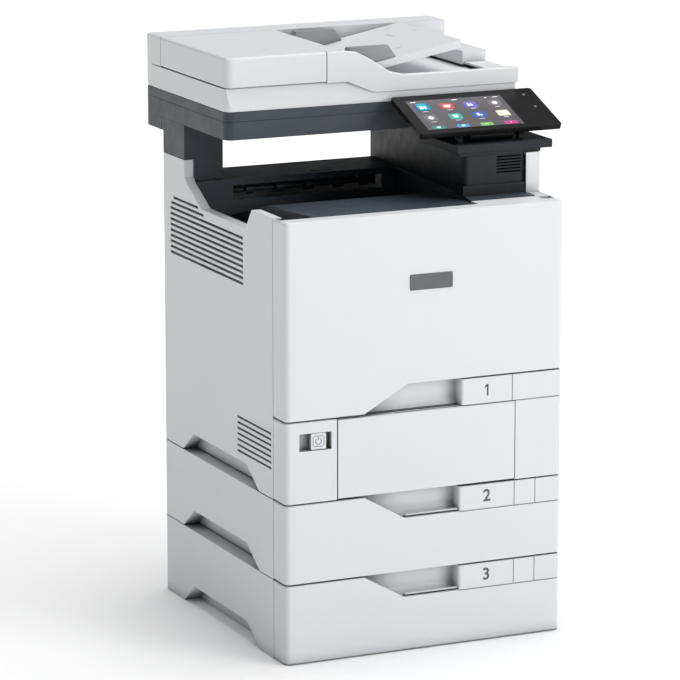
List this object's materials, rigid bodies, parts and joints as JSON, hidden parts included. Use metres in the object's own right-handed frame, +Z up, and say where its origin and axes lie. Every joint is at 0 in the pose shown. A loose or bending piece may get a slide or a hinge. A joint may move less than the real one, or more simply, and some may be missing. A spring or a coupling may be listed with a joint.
{
  "type": "photocopier",
  "caption": "Floor-standing office copier: stacked paper drawers, print engine with output bin, flatbed scanner with document feeder, tilting touch panel.",
  "frame": {"origin": "centre of the footprint, on the floor", "axes": "+Z up, +X to the operator's right, +Y to the back"},
  "size_m": [0.4955, 0.5168, 0.867],
  "materials": {
    "white_plastic": "fine moulded texture",
    "dark_plastic": "fine moulded texture",
    "panel_black": "smooth black",
    "grey_plastic": "moulded",
    "badge_grey": "satin",
    "inner_black": "moulded",
    "steel": "zinc plated",
    "roller_rubber": "matt",
    "foot_rubber": "matt",
    "screen": "lit display",
    "platen_glass": "clear",
    "board_green": "solder mask",
    "toner_black": "moulded"
  },
  "bodies": {
    "copier": {"rubber_feet": "foot_rubber", "tray3_housing": "white_plastic", "tray2_housing": "white_plastic", "main_frame": "steel", "left_cover": "white_plastic", "right_cover": "white_plastic", "rear_cover": "white_plastic", "lower_left_cover": "white_plastic", "output_bin": "dark_plastic", "left_neck": "dark_plastic", "control_pillar": "dark_plastic", "panel_bracket": "dark_plastic", "scanner_base": "dark_plastic", "scanner_bezel": "dark_plastic", "platen_glass": "platen_glass", "carriage_rail": "steel", "toner_cartridges": "toner_black", "imaging_unit": "inner_black", "laser_unit": "inner_black", "fuser_unit": "inner_black", "power_supply": "steel", "controller_board": "board_green", "cooling_fan": "inner_black"},
    "front_door": {"front_door": "white_plastic", "badge_plate": "badge_grey"},
    "tray1_drawer": {"tray1_front": "white_plastic", "tray1_cassette": "inner_black"},
    "tray1_lift_plate": {"tray1_lift_plate": "steel"},
    "tray1_left_guide": {"tray1_left_guide": "grey_plastic"},
    "tray1_right_guide": {"tray1_right_guide": "grey_plastic"},
    "tray1_pick_roller": {"tray1_pick_roller": "roller_rubber"},
    "tray2_drawer": {"tray2_front": "white_plastic", "tray2_cassette": "inner_black"},
    "tray2_lift_plate": {"tray2_lift_plate": "steel"},
    "tray2_left_guide": {"tray2_left_guide": "grey_plastic"},
    "tray2_right_guide": {"tray2_right_guide": "grey_plastic"},
    "tray2_pick_roller": {"tray2_pick_roller": "roller_rubber"},
    "tray3_drawer": {"tray3_front": "white_plastic", "tray3_cassette": "inner_black"},
    "tray3_lift_plate": {"tray3_lift_plate": "steel"},
    "tray3_left_guide": {"tray3_left_guide": "grey_plastic"},
    "tray3_right_guide": {"tray3_right_guide": "grey_plastic"},
    "tray3_pick_roller": {"tray3_pick_roller": "roller_rubber"},
    "bypass_door": {"bypass_door": "white_plastic"},
    "bypass_extension": {"bypass_extension": "grey_plastic"},
    "power_button": {"power_button": "grey_plastic"},
    "rear_door": {"rear_door": "white_plastic"},
    "control_panel": {"panel_housing": "panel_black", "display_screen": "screen"},
    "scan_carriage": {"scan_carriage": "inner_black"},
    "document_cover": {"feeder_base": "white_plastic", "platen_pad": "white_plastic"},
    "feeder_top_cover": {"feeder_top_cover": "white_plastic"},
    "feeder_input_tray": {"feeder_input_tray": "white_plastic"},
    "feeder_front_guide": {"feeder_front_guide": "grey_plastic"},
    "feeder_rear_guide": {"feeder_rear_guide": "grey_plastic"},
    "feeder_pick_roller": {"feeder_pick_roller": "roller_rubber"},
    "fuser_roller": {"fuser_roller": "steel"},
    "exit_roller": {"exit_roller": "steel"},
    "fan_rotor": {"fan_rotor": "inner_black"}
  },
  "joints": [
    {"name": "front_door_hinge", "type": "hinge", "parent": "copier", "child": "front_door", "pos_m": [0, -0.225, 0.3696], "axis": [1, 0, 0], "range_deg": [0, 75]},
    {"name": "tray1_slide", "type": "slide", "parent": "copier", "child": "tray1_drawer", "axis": [0, -1, 0], "range_m": [0, 0.36]},
    {"name": "tray1_lift_hinge", "type": "hinge", "parent": "tray1_drawer", "child": "tray1_lift_plate", "pos_m": [0.00215, 0.15, 0.2588], "axis": [-1, 0, 0], "range_deg": [0, 11]},
    {"name": "tray1_guide_slide", "type": "slide", "parent": "tray1_drawer", "child": "tray1_left_guide", "axis": [1, 0, 0], "range_m": [0, 0.06]},
    {"name": "tray1_guide_follow", "type": "slide", "parent": "tray1_drawer", "child": "tray1_right_guide", "axis": [-1, 0, 0], "range_m": [0, 0.06]},
    {"name": "tray1_pick_spin", "type": "hinge", "parent": "copier", "child": "tray1_pick_roller", "pos_m": [0.00215, -0.15, 0.3458], "axis": [1, 0, 0], "continuous": true},
    {"name": "tray2_slide", "type": "slide", "parent": "copier", "child": "tray2_drawer", "axis": [0, -1, 0], "range_m": [0, 0.36]},
    {"name": "tray2_lift_hinge", "type": "hinge", "parent": "tray2_drawer", "child": "tray2_lift_plate", "pos_m": [0, 0.15, 0.1384], "axis": [-1, 0, 0], "range_deg": [0, 11]},
    {"name": "tray2_guide_slide", "type": "slide", "parent": "tray2_drawer", "child": "tray2_left_guide", "axis": [1, 0, 0], "range_m": [0, 0.06]},
    {"name": "tray2_guide_follow", "type": "slide", "parent": "tray2_drawer", "child": "tray2_right_guide", "axis": [-1, 0, 0], "range_m": [0, 0.06]},
    {"name": "tray2_pick_spin", "type": "hinge", "parent": "copier", "child": "tray2_pick_roller", "pos_m": [0, -0.15, 0.2254], "axis": [1, 0, 0], "continuous": true},
    {"name": "tray3_slide", "type": "slide", "parent": "copier", "child": "tray3_drawer", "axis": [0, -1, 0], "range_m": [0, 0.36]},
    {"name": "tray3_lift_hinge", "type": "hinge", "parent": "tray3_drawer", "child": "tray3_lift_plate", "pos_m": [0, 0.15, 0.018], "axis": [-1, 0, 0], "range_deg": [0, 11]},
    {"name": "tray3_guide_slide", "type": "slide", "parent": "tray3_drawer", "child": "tray3_left_guide", "axis": [1, 0, 0], "range_m": [0, 0.06]},
    {"name": "tray3_guide_follow", "type": "slide", "parent": "tray3_drawer", "child": "tray3_right_guide", "axis": [-1, 0, 0], "range_m": [0, 0.06]},
    {"name": "tray3_pick_spin", "type": "hinge", "parent": "copier", "child": "tray3_pick_roller", "pos_m": [0, -0.15, 0.105], "axis": [1, 0, 0], "continuous": true},
    {"name": "bypass_hinge", "type": "hinge", "parent": "tray1_drawer", "child": "bypass_door", "pos_m": [0.00215, -0.225, 0.248], "axis": [1, 0, 0], "range_deg": [0, 80]},
    {"name": "bypass_extension_slide", "type": "slide", "parent": "bypass_door", "child": "bypass_extension", "axis": [0, 0, 1], "range_m": [0, 0.035]},
    {"name": "power_button_press", "type": "slide", "parent": "copier", "child": "power_button", "axis": [0, 1, 0], "range_m": [0, 0.002], "stiffness_N_per_m": 600},
    {"name": "rear_door_hinge", "type": "hinge", "parent": "copier", "child": "rear_door", "pos_m": [0, 0.2274, 0.3044], "axis": [-1, 0, 0], "range_deg": [0, 80]},
    {"name": "panel_tilt", "type": "hinge", "parent": "copier", "child": "control_panel", "pos_m": [0.15375, -0.114, 0.7425], "axis": [1, 0, 0], "range_deg": [0, 30]},
    {"name": "carriage_slide", "type": "slide", "parent": "copier", "child": "scan_carriage", "axis": [1, 0, 0], "range_m": [0, 0.36]},
    {"name": "document_cover_hinge", "type": "hinge", "parent": "copier", "child": "document_cover", "pos_m": [0, 0.277, 0.7933], "axis": [-1, 0, 0], "range_deg": [0, 60]},
    {"name": "feeder_cover_hinge", "type": "hinge", "parent": "document_cover", "child": "feeder_top_cover", "pos_m": [-0.2224, 0.099, 0.8228], "axis": [0, -1, 0], "range_deg": [0, 70]},
    {"name": "input_tray_hinge", "type": "hinge", "parent": "document_cover", "child": "feeder_input_tray", "pos_m": [-0.026, 0.099, 0.8235], "axis": [0, -1, 0], "range_deg": [0, 30]},
    {"name": "feeder_guide_slide", "type": "slide", "parent": "feeder_input_tray", "child": "feeder_front_guide", "axis": [0, 1, 0], "range_m": [0, 0.07]},
    {"name": "feeder_guide_follow", "type": "slide", "parent": "feeder_input_tray", "child": "feeder_rear_guide", "axis": [0, -1, 0], "range_m": [0, 0.07]},
    {"name": "feeder_pick_spin", "type": "hinge", "parent": "document_cover", "child": "feeder_pick_roller", "pos_m": [-0.07, 0.099, 0.835], "axis": [0, 1, 0], "continuous": true},
    {"name": "fuser_spin", "type": "hinge", "parent": "copier", "child": "fuser_roller", "pos_m": [0, 0.142, 0.444], "axis": [1, 0, 0], "continuous": true},
    {"name": "exit_spin", "type": "hinge", "parent": "copier", "child": "exit_roller", "pos_m": [0, 0.158, 0.6355], "axis": [1, 0, 0], "continuous": true},
    {"name": "fan_spin", "type": "hinge", "parent": "copier", "child": "fan_rotor", "pos_m": [-0.219, 0.04, 0.572], "axis": [1, 0, 0], "continuous": true}
  ],
  "couplings": [
    {"joint": "tray1_guide_follow", "follows": "tray1_guide_slide", "ratio": 1},
    {"joint": "tray2_guide_follow", "follows": "tray2_guide_slide", "ratio": 1},
    {"joint": "tray3_guide_follow", "follows": "tray3_guide_slide", "ratio": 1},
    {"joint": "feeder_guide_follow", "follows": "feeder_guide_slide", "ratio": 1}
  ]
}
